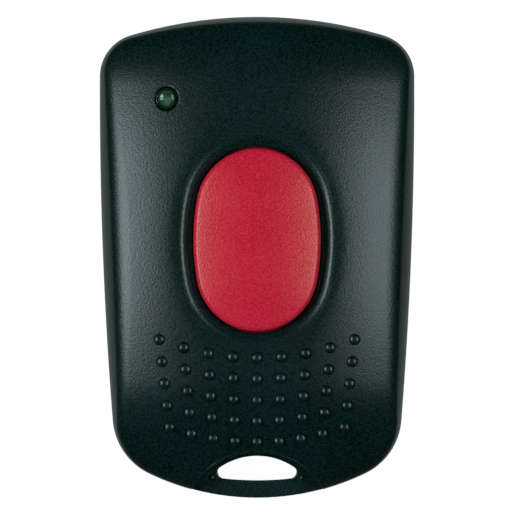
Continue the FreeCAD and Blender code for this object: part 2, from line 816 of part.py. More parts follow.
os.makedirs("parts", exist_ok=True)
save("front_cover", front_cover())
save("rear_cover", rear_cover())
save("push_button", push_button())
save("cover_screw", cover_screw())
save("coin_cell", coin_cell())
save("battery_clip", battery_clip())
save("battery_contact", battery_contact())
save("circuit_board", circuit_board())
save("switch_base", switch_base())
save("switch_cover", switch_cover())
save("switch_plunger", switch_plunger())
save("switch_dome", switch_dome())
save("switch_terminals", switch_terminals())
save("status_lamp", status_lamp())
save("lamp_leads", lamp_leads())
save("encoder_chip", encoder_chip())
save("encoder_chip_legs", encoder_chip_legs())
save("radio_filter", radio_filter())
save("clock_crystal", clock_crystal())
save("radio_transistor", radio_transistor())
save("radio_transistor_legs", radio_transistor_legs())
save("chip_capacitors", two_ended_parts(capacitor_places, capacitor_height))
save("chip_resistors", two_ended_parts(resistor_places, resistor_height))
save("radio_coil", radio_coil())
save("aerial_wire", aerial_wire())
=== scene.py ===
import math
import bpy
import bmesh
from mathutils import Matrix, Vector


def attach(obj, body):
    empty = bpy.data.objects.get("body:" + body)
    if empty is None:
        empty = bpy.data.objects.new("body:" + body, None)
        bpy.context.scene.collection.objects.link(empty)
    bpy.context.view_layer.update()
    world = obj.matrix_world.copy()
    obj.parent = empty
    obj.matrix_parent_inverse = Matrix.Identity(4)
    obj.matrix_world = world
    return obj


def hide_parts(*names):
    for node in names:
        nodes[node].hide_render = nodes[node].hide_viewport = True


# Looks of a hand-held radio transmitter, made around its solid parts.
# Shapes are worked out in millimetres and turned to metres when a piece is finished.
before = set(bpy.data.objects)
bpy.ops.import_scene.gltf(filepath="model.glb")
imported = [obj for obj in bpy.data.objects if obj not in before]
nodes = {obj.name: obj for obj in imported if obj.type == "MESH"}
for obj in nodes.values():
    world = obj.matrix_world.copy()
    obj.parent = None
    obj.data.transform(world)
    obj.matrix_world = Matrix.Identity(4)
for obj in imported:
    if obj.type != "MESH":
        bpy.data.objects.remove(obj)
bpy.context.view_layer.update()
mm = 0.001
halvings = 40  # steps of a search that halves its range

# Case: outline, heights and arched face, which both covers share
case = {
    "width": 36.6, "length": 56.0, "widestFromHead": 9.1, "sideRadius": 478.0,
    "headRadius": 51.4, "headCorner": 5.0, "footRadius": 29.0, "footCorner": 7.5,
    "notchRadius": 8.78, "notchOut": 3.22,
    "parting": 4.6, "seam": 0.1, "wall": 1.5, "floor": 1.4, "backEdge": 1.5,
    "draft": 0.08, "bow": 0.0298, "tongue": 0.8, "tongueGap": 0.08,
    "crown": 13.2, "across": 54.0, "along": 120.0, "land": 12.33, "landBlend": 0.12,
    "headBend": 8.2, "headBendRadius": 24.0, "footBend": 14.0, "footBendRadius": 30.0,
    "notchPoints": 26, "footPoints": 12, "cornerPoints": 40, "sidePoints": 60, "headPoints": 48,
}

# Thumb button, whose oval also gives the cover's opening and seat
button = {
    "centre": 2.01, "halfWidth": 7.25, "halfLength": 10.4, "sideRadius": 26.0,
    "sideGap": 0.16, "endGap": 0.29,
    "top": 14.0, "domeRadius": 32.0, "edgeReach": 0.52, "edgeDrop": 0.42, "flatMiddle": 0.6827,
    "wall": 1.2, "seat": 10.95, "flangeReach": 1.0, "flange": 0.8, "plungerTop": 10.55, "post": 1.75,
    "points": 160, "edgeRings": 12, "topRings": 13,
}


def onCircle(centre, radius, angle):
    return centre + Vector((math.cos(angle), math.sin(angle))) * radius


def angleOf(vector):
    return math.atan2(vector.y, vector.x)


def nestedCentre(big, bigRadius, other, otherRadius, radius, upper):
    # centre of a circle that touches two larger ones from inside
    span = other - big
    distance = span.length
    along = span.normalized()
    reach = ((bigRadius - radius) ** 2 - (otherRadius - radius) ** 2 + distance ** 2) / (2 * distance)
    side = math.sqrt((bigRadius - radius) ** 2 - reach ** 2)
    across = Vector((-along.y, along.x))
    choices = [big + along * reach + across * side, big + along * reach - across * side]
    choices.sort(key=lambda point: point.y)
    return choices[1] if upper else choices[0]


# Centres of the outline's arcs on the right half, and the directions in which they meet
sideCentre = Vector((case["width"] / 2 - case["sideRadius"], case["length"] / 2 - case["widestFromHead"]))
headCentre = Vector((0, case["length"] / 2 - case["headRadius"]))
footCentre = Vector((0, case["footRadius"] - case["length"] / 2))
notchCentre = Vector((0, -case["length"] / 2 - case["notchOut"]))
headCornerCentre = nestedCentre(sideCentre, case["sideRadius"], headCentre, case["headRadius"],
                                case["headCorner"], True)
footCornerCentre = nestedCentre(sideCentre, case["sideRadius"], footCentre, case["footRadius"],
                                case["footCorner"], False)
footTurn = angleOf(footCornerCentre - footCentre)
lowTurn = angleOf(footCornerCentre - sideCentre)
highTurn = angleOf(headCornerCentre - sideCentre)
headTurn = angleOf(headCornerCentre - headCentre)


def outlineSteps(withNotch):
    # which arc each point of the right half lies on, and how far along it
    stretches = [("foot", case["footPoints"]), ("footCorner", case["cornerPoints"]),
                 ("side", case["sidePoints"]), ("headCorner", case["cornerPoints"]),
                 ("head", case["headPoints"])]
    if withNotch:
        stretches.insert(0, ("notch", case["notchPoints"]))
    steps = []
    for name, count in stretches:
        steps += [(name, i / count) for i in range(count)]
    return steps + [("head", 1.0)]


def outlinePoint(step, inset, notchGrow=0.0, notched=True):
    # point of the outline moved in by an inset, with the notch's arc grown by its own amount
    name, share = step
    footStart, notchEnd = -math.pi / 2, 0.0
    notchRadius = case["notchRadius"] + notchGrow
    if notched:
        radius = case["footRadius"] - inset
        distance = (footCentre - notchCentre).length
        reach = (radius ** 2 - notchRadius ** 2 + distance ** 2) / (2 * distance)
        meet = Vector((math.sqrt(radius ** 2 - reach ** 2), footCentre.y - reach))
        footStart, notchEnd = angleOf(meet - footCentre), angleOf(meet - notchCentre)
    arcs = {
        "notch": (notchCentre, notchRadius, math.pi / 2, notchEnd),
        "foot": (footCentre, case["footRadius"] - inset, footStart, footTurn),
        "footCorner": (footCornerCentre, case["footCorner"] - inset, footTurn, lowTurn),
        "side": (sideCentre, case["sideRadius"] - inset, lowTurn, highTurn),
        "headCorner": (headCornerCentre, case["headCorner"] - inset, highTurn, headTurn),
        "head": (headCentre, case["headRadius"] - inset, headTurn, math.pi / 2),
    }
    centre, radius, start, stop = arcs[name]
    return onCircle(centre, radius, start + (stop - start) * share)


def allRound(half):
    # closes a right-half list of points, whose first and last lie on the middle line
    left = [Vector((-point.x, *point[1:])) for point in reversed(half[1:-1])]
    return half + left


def ovalPoint(turn, sideGrow, endGrow):
    # point of the button's oval, grown by two amounts, in a direction from its centre
    halfWidth = button["halfWidth"] + sideGrow
    halfLength = button["halfLength"] + endGrow
    sideRadius = button["sideRadius"] + sideGrow
    endRadius = 2 * sideRadius * halfWidth - halfWidth ** 2 - halfLength ** 2
    endRadius /= 2 * (sideRadius - halfLength)
    side = Vector((halfWidth - sideRadius, 0))
    end = Vector((0, halfLength - endRadius))
    join = side + (end - side).normalized() * sideRadius
    way = Vector((abs(math.cos(turn)), abs(math.sin(turn))))
    centre, radius = (side, sideRadius) if way.y * join.x < way.x * join.y else (end, endRadius)
    along = way.dot(centre)
    reach = along + math.sqrt(along ** 2 - centre.length_squared + radius ** 2)
    return Vector((math.cos(turn) * reach, button["centre"] + math.sin(turn) * reach))


def archHeight(x, y):
    # double arch of the front face, before its crown is cut flat
    ahead = y - button["centre"]
    drop = x ** 2 / (2 * case["across"]) + ahead ** 2 / (2 * case["along"])
    over = max(y - (case["length"] / 2 - case["headBend"]), 0)
    under = max(case["footBend"] - case["length"] / 2 - y, 0)
    drop += over ** 2 / (2 * case["headBendRadius"]) + under ** 2 / (2 * case["footBendRadius"])
    return case["crown"] - drop


def faceHeight(x, y):
    # the arch with its crown cut flat, and a soft line where the flat begins
    above = archHeight(x, y) - case["land"]
    return case["land"] + (above - math.hypot(above, case["landBlend"])) / 2


def faceNormal(x, y):
    step = 0.01
    slopeX = (faceHeight(x + step, y) - faceHeight(x - step, y)) / (2 * step)
    slopeY = (faceHeight(x, y + step) - faceHeight(x, y - step)) / (2 * step)
    return Vector((-slopeX, -slopeY, 1)).normalized()


def flankInset(height):
    # how far the side wall leans and bows in, this high over the parting line
    return case["draft"] * height + case["bow"] * height ** 2


def lifted(point, z):
    # a point of the plan, set at a height
    return Vector((point.x, point.y, z))


def circle(x, y, radius, count=48):
    return [onCircle(Vector((x, y)), radius, 2 * math.pi * i / count) for i in range(count)]


def turned(x, y, profile, count=48):
    # rings of points round an upright axis, from a profile of radii and heights
    return [[lifted(point, z) for point in circle(x, y, radius, count)] for radius, z in profile]


def rounded(first, middle, last, count):
    # points of a soft corner between two others, ends left out
    points = []
    for i in range(1, count):
        share = i / count
        points.append(first * (1 - share) ** 2 + middle * 2 * share * (1 - share) + last * share ** 2)
    return points


def inwardSteps(reach, edge, tip, edgeRings, topRings):
    # steps in from a rim: close together round its soft edge, then even to a small tip left in the middle
    steps = [edge * (1 - math.cos(math.radians(90 * i / edgeRings))) for i in range(edgeRings + 1)]
    return steps + [edge + (reach - tip - edge) * i / topRings for i in range(1, topRings + 1)]


def edgeFall(inward, reach, drop):
    # how far a rounded edge has dropped, this far in from its rim
    left = 1 - min(inward / reach, 1)
    return drop * (1 - math.sqrt(1 - left * left))


def ringEdges(mesh, verts):
    # edges between neighbours in a closed ring of vertices
    found = []
    for i, vert in enumerate(verts):
        after = verts[(i + 1) % len(verts)]
        found += [edge for edge in vert.link_edges if edge.other_vert(vert) is after]
    return found


def loft(mesh, rings, close=False):
    # skin through rings of points: one circle, extruded from ring to ring
    first = bmesh.ops.create_circle(mesh, cap_ends=False, radius=1, segments=len(rings[0]))["verts"]
    first.sort(key=lambda vert: angleOf(vert.co))
    current = first
    for vert, place in zip(current, rings[0]):
        vert.co = place
    firstEdges = ringEdges(mesh, current)
    edges = firstEdges
    for ring in rings[1:]:
        order = {vert: i for i, vert in enumerate(current)}
        made = bmesh.ops.extrude_edge_only(mesh, edges=edges)["geom"]
        above = {}
        for vert in [item for item in made if isinstance(item, bmesh.types.BMVert)]:
            for edge in vert.link_edges:
                other = edge.other_vert(vert)
                if other in order:
                    above[order[other]] = vert
        current = [above[i] for i in range(len(current))]
        for vert, place in zip(current, ring):
            vert.co = place
        edges = ringEdges(mesh, current)
    if close:
        bmesh.ops.bridge_loops(mesh, edges=firstEdges + edges)
    return first, current


def capEnds(mesh, *loops):
    for loop in loops:
        bmesh.ops.contextual_create(mesh, geom=loop)


def capped(rings):
    # closed solid through rings of points
    mesh = bmesh.new()
    loft(mesh, rings)
    bmesh.ops.holes_fill(mesh, edges=mesh.edges)
    return mesh


def straight(outline, low, high):
    # upright solid between two heights
    return capped([[lifted(point, z) for point in outline] for z in (low, high)])


def objectFrom(mesh, name):
    data = bpy.data.meshes.new(name)
    mesh.to_mesh(data)
    mesh.free()
    item = bpy.data.objects.new(name, data)
    bpy.context.scene.collection.objects.link(item)
    return item


def cutBy(mesh, cutters):
    # the mesh less closed cutter meshes, by exact booleans; all of them in millimetres
    for solid in [mesh, *cutters]:
        bmesh.ops.recalc_face_normals(solid, faces=solid.faces)
    blank = objectFrom(mesh, "blank")
    tools = [objectFrom(cutter, "tool") for cutter in cutters]
    for tool in tools:
        step = blank.modifiers.new("cut", "BOOLEAN")
        step.operation = "DIFFERENCE"
        step.solver = "EXACT"
        step.object = tool
    ready = blank.evaluated_get(bpy.context.evaluated_depsgraph_get())
    result = bmesh.new()
    result.from_mesh(ready.data)
    for item in [blank, *tools]:
        bpy.data.meshes.remove(item.data)
    return result


def addIn(mesh, extra):
    # joins a small mesh into a large one
    data = bpy.data.meshes.new("extra")
    extra.to_mesh(data)
    extra.free()
    mesh.from_mesh(data)
    bpy.data.meshes.remove(data)


def finishPiece(mesh, name, body, sharpAngle=35):
    # smooth faces with sharp edges kept, in metres, carried by one body
    bmesh.ops.recalc_face_normals(mesh, faces=mesh.faces)
    for edge in mesh.edges:
        edge.smooth = edge.calc_face_angle(0) < math.radians(sharpAngle)
    for face in mesh.faces:
        face.smooth = True
    bmesh.ops.scale(mesh, vec=(mm, mm, mm), verts=mesh.verts)
    piece = objectFrom(mesh, name)
    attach(piece, body)
    return piece


# Front cover: soft crease, notch, sloping dish round the button, grip domes and lamp hole
cover = {
    "creaseFace": 1.9, "creaseFlank": 0.6, "notchFace": 0.34, "notchWall": 0.1, "notchRim": 0.16,
    "flankRings": 9, "creaseRings": 9, "faceRings": 38, "roofRings": 6,
    "rimRound": 0.08, "rimRings": 4, "lipRound": 0.06, "lipRings": 3, "lipStart": 0.04,
    "dishSide": 1.5, "dishEnd": 1.54, "dishDepth": 0.56, "dishFlat": 0.22, "dishRings": 12,
    "dishStart": 0.53, "dishHold": 0.2, "dishBend": 0.22,
    "domeRows": 5, "domeColumns": 9, "domeSize": 1.34, "domeHeight": 0.42, "domeRadius": 1.05,
    "domeSunk": 0.2, "domeEdge": 0.24, "domeTip": 0.0335,
    "domeEdgeRings": 8, "domeTopRings": 5, "domePoints": 28,
    "domeDishGap": 1.48, "domeNotchGap": 1.35, "domePitch": 2.783, "domeLoss": 0.069, "domeCurve": 30.9,
    "lampX": -10.34, "lampY": 18.15, "lampHole": 1.38, "lampHoleDeep": 6.0, "lampHoleRound": 0.14,
    "lampHoleFlare": 0.56, "lampHoleClear": 0.002, "lampHoleOver": 2.0,
    "lampHoleRings": 6, "lampHolePoints": 64,
}


def meetHeight(step, wall=0.0):
    # height over the parting line at which the flank meets the face, both a wall inwards
    low, high = 0.0, case["crown"]
    for _ in range(halvings):
        height = (low + high) / 2
        point = outlinePoint(step, wall + flankInset(height), wall)
        if case["parting"] + height > faceHeight(*point) - wall:
            high = height
        else:
            low = height
    return height


def flankPoint(step, height, wall=0.0):
    # point on the side wall, or on its inside if a wall is given
    return lifted(outlinePoint(step, wall + flankInset(height), wall), case["parting"] + height)


def facePoint(plan, wall=0.0):
    # point on the face over a place in the plan, or under the roof if a wall is given
    return lifted(plan, faceHeight(plan.x, plan.y) - wall)


def dishPoint(turn, share):
    # gentle next to its rim, then bends to a steeper slope; flat next to the button's sides
    side = button["sideGap"] + (cover["dishSide"] - button["sideGap"]) * share
    end = button["endGap"] + (cover["dishEnd"] - button["endGap"]) * share
    inner = min((1 - share) / (1 - cover["dishFlat"] * math.cos(turn) ** 2), 1)
    steeper = (1 - cover["dishStart"]) / (1 - cover["dishHold"] - cover["dishBend"] / 2)
    bent = min(max(inner - cover["dishHold"], 0), cover["dishBend"])
    fall = cover["dishStart"] * inner + steeper * bent ** 2 / (2 * cover["dishBend"])
    fall += steeper * max(inner - cover["dishHold"] - cover["dishBend"], 0)
    return lifted(ovalPoint(turn, side, end), case["land"] - cover["dishDepth"] * fall)


def outsideColumn(step, crease, rim):
    # up the flank, round the crease and over the face to the dish's rim
    notched = step[0] == "notch"
    soft = cover["notchFace"] if notched else cover["creaseFace"]
    top = crease.z - case["parting"] - (cover["notchWall"] if notched else cover["creaseFlank"])
    column = [lifted(outlinePoint(step, case["seam"]), case["parting"])]
    for i in range(cover["flankRings"] + 1):
        column.append(flankPoint(step, case["seam"] + (top - case["seam"]) * i / cover["flankRings"]))
    inwards = (rim - crease.to_2d()).normalized()
    start = crease.to_2d() + inwards * soft
    stop = rim - inwards * cover["rimRound"]
    corner = lifted(crease, crease.z + (cover["notchRim"] if notched else 0))  # faint rim along the notch
    column += rounded(column[-1], corner, facePoint(start), cover["creaseRings"])
    for i in range(cover["faceRings"] + 1):
        column.append(facePoint(start.lerp(stop, i / cover["faceRings"])))
    return column


def openingColumn(turn, above):
    # over the rim, down the dish and through the button's opening to the seat
    edge = 1 - cover["rimRound"] / (cover["dishSide"] - button["sideGap"])
    column = rounded(above, dishPoint(turn, 1), dishPoint(turn, edge), cover["rimRings"])
    for i in range(cover["dishRings"] + 1):
        share = i / cover["dishRings"]
        column.append(dishPoint(turn, edge * (1 - share) + cover["lipStart"] * share))
    opening = ovalPoint(turn, button["sideGap"], button["endGap"])
    lip = lifted(opening, case["land"] - cover["dishDepth"])
    under = lifted(opening, lip.z - cover["lipRound"])
    column += rounded(column[-1], lip, under, cover["lipRings"])
    return column + [under, lifted(opening, button["seat"])]


def insideColumn(step, turn):
    # from the seat under the roof, down the wall's inside and round the recess for the tongue
    wall, reach = case["wall"], button["flangeReach"]
    seat = ovalPoint(turn, button["sideGap"] + reach, button["endGap"] + reach)
    corner = flankPoint(step, meetHeight(step, wall), wall)
    column = [lifted(seat, button["seat"]), lifted(seat, case["land"] - wall)]
    for i in range(1, cover["roofRings"]):
        column.append(facePoint(seat.lerp(corner.to_2d(), i / cover["roofRings"]), wall))
    recess = case["tongue"] + case["tongueGap"]
    half = wall / 2 - case["tongueGap"]
    middle = outlinePoint(step, half, half)
    column += [corner, flankPoint(step, recess, wall)]
    return column + [lifted(middle, case["parting"] + recess), lifted(middle, case["parting"])]


def coverRings():
    # rings of the front cover, from the parting line over the face and back along the inside
    columns = []
    for step in outlineSteps(True):
        crease = flankPoint(step, meetHeight(step))
        turn = angleOf(Vector((crease.x, crease.y - button["centre"])))
        column = outsideColumn(step, crease, ovalPoint(turn, cover["dishSide"], cover["dishEnd"]))
        column += openingColumn(turn, column[-1])
        columns.append(column + insideColumn(step, turn))
    return [allRound(list(half)) for half in zip(*columns)]


def lampCutter():
    # flared hole along the face's own slant, so that its edge is softly broken
    x, y = cover["lampX"], cover["lampY"]
    hole, soft = cover["lampHole"], cover["lampHoleRound"]
    profile = [(hole, -cover["lampHoleDeep"])]
    for i in range(cover["lampHoleRings"] + 1):
        turn = math.radians(90 * i / cover["lampHoleRings"])
        profile.append((hole + soft * (1 - math.cos(turn)), -soft * (1 - math.sin(turn))))
    flare = hole + cover["lampHoleFlare"]
    profile += [(flare, cover["lampHoleClear"]), (flare, cover["lampHoleOver"])]
    mesh = capped(turned(0, 0, profile, cover["lampHolePoints"]))
    tilt = Vector((0, 0, 1)).rotation_difference(faceNormal(x, y)).to_matrix().to_4x4()
    place = Matrix.Translation((x, y, faceHeight(x, y))) @ tilt
    bmesh.ops.transform(mesh, matrix=place, verts=mesh.verts)
    return mesh


def domePlaces():
    # curved rows between the dish and the notch, each a little narrower than the one above
    first = button["centre"] - button["halfLength"] - cover["dishEnd"] - cover["domeDishGap"]
    last = notchCentre.y + case["notchRadius"] + cover["domeNotchGap"]
    rowPitch = (first - last) / (cover["domeRows"] - 1)
    places = []
    for row in range(cover["domeRows"]):
        pitch = cover["domePitch"] - cover["domeLoss"] * row
        for column in range(cover["domeColumns"]):
            x = (column - (cover["domeColumns"] - 1) / 2) * pitch
            rise = cover["domeCurve"] - math.sqrt(cover["domeCurve"] ** 2 - x ** 2)
            places.append((x, first - rowPitch * row + rise))
    return places


def makeDomes():
    # low cushions: a shallow top and a rounded edge, sunk a little into the face
    domes = bmesh.new()
    half = cover["domeSize"] / 2
    drop = cover["domeHeight"] - half ** 2 / (2 * cover["domeRadius"])
    profile = [(half, -cover["domeSunk"])]
    for inward in inwardSteps(half, cover["domeEdge"], cover["domeTip"], cover["domeEdgeRings"],
                              cover["domeTopRings"]):
        out = half - inward
        fall = out ** 2 / (2 * cover["domeRadius"]) + edgeFall(inward, cover["domeEdge"], drop)
        profile.append((out, cover["domeHeight"] - fall))
    for x, y in domePlaces():
        face = faceHeight(x, y)
        rings = turned(x, y, [(radius, face + z) for radius, z in profile], cover["domePoints"])
        capEnds(domes, loft(domes, rings)[1])
    return domes


def makeFrontCover():
    # one closed skin, bored for the lamp, with the domes standing in it
    mesh = bmesh.new()
    loft(mesh, coverRings(), close=True)
    mesh = cutBy(mesh, [lampCutter()])
    addIn(mesh, makeDomes())
    piece = finishPiece(mesh, "frontCover", "root")
    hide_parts("front_cover")
    print("front cover", len(piece.data.polygons))
    return piece


# Rear cover: tray with the key-ring bar, its slot and pips, the screw's boss and the board's posts
rear = {
    "bar": 4.0, "backRings": 8, "edgeRound": 0.12, "flatAngle": 0.05, "root": 1.0, "past": 1.0,
    "slotWidth": 9.27, "slotTopIn": 4.86, "slotTopRadius": 7.7, "slotFootIn": 2.04, "slotFootRadius": 36.0,
    "slotEndLeast": 0.2, "slotPoints": (12, 16, 20), "slotDraft": 0.085, "slotRound": 0.12,
    "slotRoundRings": 5, "notchPoints": 180,
    "pipX": 5.3, "pipIn": 2.35, "pipRadius": 0.35, "pipHeight": 0.15,
    "screwIn": 11.0, "headHole": 2.15, "headFloor": 1.6, "headPoints": 64,
    "shankHole": 1.15, "bossRadius": 2.45,
    "postRadius": 1.2, "postHead": (5.1, 7.5), "postFoot": (5.9, 15.5), "boardUnder": 5.25,
}
footEnd = -case["length"] / 2
screwY = footEnd + rear["screwIn"]


def slotOutline():
    # D-shaped key-ring slot: round top and nearly straight foot, joined by small end arcs
    upper = Vector((0, footEnd + rear["slotTopIn"] - rear["slotTopRadius"]))
    lower = Vector((0, footEnd + rear["slotFootIn"] + rear["slotFootRadius"]))
    low, high = rear["slotEndLeast"], (rear["slotTopIn"] - rear["slotFootIn"]) / 2
    for _ in range(halvings):
        radius = (low + high) / 2
        end = nestedCentre(upper, rear["slotTopRadius"], lower, rear["slotFootRadius"], radius, False)
        end.x = abs(end.x)
        if end.x + radius > rear["slotWidth"] / 2:
            low = radius
        else:
            high = radius
    lowJoin, topJoin = angleOf(end - lower), angleOf(end - upper)
    arcs = [(lower, rear["slotFootRadius"], -math.pi / 2, lowJoin), (end, radius, lowJoin, topJoin),
            (upper, rear["slotTopRadius"], topJoin, math.pi / 2)]
    points = []
    for (centre, arc, start, stop), count in zip(arcs, rear["slotPoints"]):
        points += [onCircle(centre, arc, start + (stop - start) * i / count) for i in range(count)]
    points.append(Vector((0, upper.y + rear["slotTopRadius"])))
    return allRound(points)


def slotCutter():
    # the slot widens a little towards the back
    middle = footEnd + (rear["slotTopIn"] + rear["slotFootIn"]) / 2
    half = (rear["slotTopIn"] - rear["slotFootIn"]) / 2
    rings = []
    for z in (-rear["past"], rear["bar"], case["crown"]):
        share = 1 + rear["slotDraft"] * max(rear["bar"] - z, 0) / half
        rings.append([Vector((point.x, middle + (point.y - middle) * share, z)) for point in slotOutline()])
    return capped(rings)


def slotRims(mesh):
    # edges of the slot's two mouths, on the bar and on the back
    near = 0.01
    spread = rear["slotDraft"] * rear["bar"] + near
    low, high = footEnd + rear["slotFootIn"] - spread, footEnd + rear["slotTopIn"] + spread
    aside = rear["slotWidth"] / 2 + near
    rims = []
    for edge in mesh.edges:
        ends = [vert.co for vert in edge.verts]
        level = any(all(abs(point.z - z) < near for point in ends) for z in (0, rear["bar"]))
        if level and all(abs(point.x) < aside and low < point.y < high for point in ends):
            rims.append(edge)
    return rims


def notchedOutline(inset):
    # the case's whole outline with the notch in its foot, moved in all round
    return allRound([outlinePoint(step, inset, inset) for step in outlineSteps(True)])


def makeTray():
    # outer form with its rounded back edge, hollowed and cut for the notch, the slot and the screw's head
    def ring(inset, z):
        half = [outlinePoint(step, inset, notched=False) for step in outlineSteps(False)]
        return [lifted(point, z) for point in allRound(half)]

    rings = []
    for i in range(rear["backRings"] + 1):
        turn = math.radians(90 * i / rear["backRings"])
        rings.append(ring(case["backEdge"] * (1 - math.sin(turn)), case["backEdge"] * (1 - math.cos(turn))))
    rings.append(ring(0, rear["bar"] - rear["edgeRound"]))
    rings.append(ring(0, case["parting"] - case["seam"]))
    rings.append(ring(case["seam"], case["parting"]))
    notch = circle(0, notchCentre.y, case["notchRadius"], rear["notchPoints"])
    head = circle(0, screwY, rear["headHole"], rear["headPoints"])
    cutters = [straight(notch, rear["bar"], case["crown"]),
               straight(notchedOutline(case["wall"]), case["floor"], case["crown"]),
               slotCutter(), straight(head, -rear["past"], rear["headFloor"])]
    mesh = cutBy(capped(rings), cutters)
    bmesh.ops.dissolve_limit(mesh, angle_limit=math.radians(rear["flatAngle"]),
                             verts=mesh.verts, edges=mesh.edges)
    bmesh.ops.bevel(mesh, geom=slotRims(mesh), offset=rear["slotRound"], offset_type="OFFSET",
                    affect="EDGES", segments=rear["slotRoundRings"], profile=0.5, material=-1)
    return mesh


def makeRearCover():
    # the tray with its tongue, screw boss, four posts and two pips
    mesh = makeTray()
    wall, parting, root = case["wall"], case["parting"], rear["root"]
    low, high = parting - wall, parting + case["tongue"]
    tongue = [[lifted(point, z) for point in notchedOutline(inset)]
              for inset, z in [(wall, low), (wall, high), (wall / 2, high), (wall / 2, low)]]
    loft(mesh, tongue, close=True)
    loft(mesh, turned(0, screwY, [(rear["shankHole"], root), (rear["shankHole"], parting),
                                  (rear["bossRadius"], parting), (rear["bossRadius"], root)]), close=True)
    height = rear["boardUnder"] - root
    for (side, end), upwards in [(rear["postHead"], 1), (rear["postFoot"], -1)]:
        for way in (-1, 1):
            x, y = way * (case["width"] / 2 - side), upwards * (case["length"] / 2 - end)
            bmesh.ops.create_cone(mesh, cap_ends=True, segments=32, radius1=rear["postRadius"],
                                  radius2=rear["postRadius"], depth=height,
                                  matrix=Matrix.Translation((x, y, root + height / 2)))
    ball = (rear["pipRadius"] ** 2 + rear["pipHeight"] ** 2) / (2 * rear["pipHeight"])
    for way in (-1, 1):
        place = (way * rear["pipX"], footEnd + rear["pipIn"], rear["bar"] + rear["pipHeight"] - ball)
        bmesh.ops.create_uvsphere(mesh, u_segments=28, v_segments=24, radius=ball,
                                  matrix=Matrix.Translation(place))
    piece = finishPiece(mesh, "rearCover", "root")
    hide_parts("rear_cover")
    print("rear cover", len(piece.data.polygons))
    return piece


def makeButton():
    # cap with a domed top, a flange under the cover's seat and a post on the plunger
    turns = [2 * math.pi * i / button["points"] - math.pi / 2 for i in range(button["points"])]

    def ring(grow, z):
        return [lifted(ovalPoint(turn, grow, grow), z) for turn in turns]

    under = button["seat"] - button["flange"]
    rings = [ring(-button["wall"], under), ring(button["flangeReach"], under),
             ring(button["flangeReach"], button["seat"]), ring(0, button["seat"])]
    for inward in inwardSteps(button["halfWidth"], button["edgeReach"], button["flatMiddle"],
                              button["edgeRings"], button["topRings"]):
        fall = (button["halfWidth"] - inward) ** 2 / (2 * button["domeRadius"])
        fall += edgeFall(inward, button["edgeReach"], button["edgeDrop"])
        rings.append(ring(-inward, button["top"] - fall))
    mesh = bmesh.new()
    first, last = loft(mesh, rings)
    roof = button["top"] - button["wall"] - button["edgeDrop"]
    inside = bmesh.ops.extrude_edge_only(mesh, edges=ringEdges(mesh, first))["geom"]
    raised = [item for item in inside if isinstance(item, bmesh.types.BMVert)]
    for vert in raised:
        vert.co.z = roof
    capEnds(mesh, last, raised)
    height = roof - button["plungerTop"]
    bmesh.ops.create_cone(mesh, cap_ends=True, segments=40, radius1=button["post"], radius2=button["post"],
                          depth=height, matrix=Matrix.Translation((0, button["centre"], roof - height / 2)))
    piece = finishPiece(mesh, "thumbButton", "thumb_button", sharpAngle=50)
    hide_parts("push_button")
    print("thumb button", len(piece.data.polygons))
    return piece


# Screw in the back: rounded head with a cross recess, and a thread that narrows to its tip
screw = {
    "bottom": 0.3, "head": 2.0, "headHeight": 1.3, "headEdge": 0.35, "headRound": 0.3, "headBreak": 0.1,
    "cross": 0.55, "crossReach": 1.15, "crossDepth": 0.8, "crossTaper": 0.6, "crossTurn": 20,
    "crossPast": 0.1,
    "shank": 1.0, "core": 0.74, "length": 7.0, "overlap": 0.05, "pitch": 0.8, "ridge": 0.5,
    "tip": 1.2, "tipShare": 0.45, "headPoints": 64, "turnPoints": 36, "perTurn": 12,
}


def crossCutter(angle):
    # one bar of the cross recess, narrower at its floor
    mesh = bmesh.new()
    bmesh.ops.create_cube(mesh, size=1)
    for vert in mesh.verts:
        deep = vert.co.z > 0
        taper = screw["crossTaper"] if deep else 1
        vert.co.x *= 2 * screw["crossReach"] * taper
        vert.co.y *= screw["cross"] * taper
        vert.co.z = screw["bottom"] + (screw["crossDepth"] if deep else -screw["crossPast"])
    place = Matrix.Translation((0, screwY, 0)) @ Matrix.Rotation(math.radians(angle), 4, "Z")
    bmesh.ops.transform(mesh, matrix=place, verts=mesh.verts)
    return mesh


def threadRings(top):
    # a ridge wound round the core, drawn in towards the tip
    rings = []
    levels = int(screw["length"] / screw["pitch"] * screw["perTurn"])
    for level in range(levels + 1):
        z = top - screw["overlap"] + (screw["length"] + screw["overlap"]) * level / levels
        left = (top + screw["length"] - z) / screw["tip"]
        narrow = min(1, screw["tipShare"] + (1 - screw["tipShare"]) * left)
        ring = []
        for i in range(screw["turnPoints"]):
            share = i / screw["turnPoints"]
            phase = (z / screw["pitch"] - share) % 1.0
            ridge = max(0.0, 1 - abs(phase - 0.5) * 2 / screw["ridge"])
            radius = (screw["core"] + (screw["shank"] - screw["core"]) * ridge) * narrow
            ring.append(lifted(onCircle(Vector((0, screwY)), radius, 2 * math.pi * share), z))
        rings.append(ring)
    return rings


def makeScrew():
    low, top = screw["bottom"], screw["bottom"] + screw["headHeight"]
    radius, edge, bend = screw["head"], screw["headEdge"], screw["headEdge"] * screw["headRound"]
    profile = [(radius - edge, low), (radius - bend, low + bend), (radius, low + edge),
               (radius, top - screw["headBreak"]), (radius - screw["headBreak"], top)]
    head = capped(turned(0, screwY, profile, screw["headPoints"]))
    mesh = cutBy(head, [crossCutter(screw["crossTurn"] + quarter) for quarter in (0, 90)])
    capEnds(mesh, *loft(mesh, threadRings(top)))
    piece = finishPiece(mesh, "coverScrew", "root", sharpAngle=40)
    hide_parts("cover_screw")
    print("cover screw", len(piece.data.polygons))
    return piece


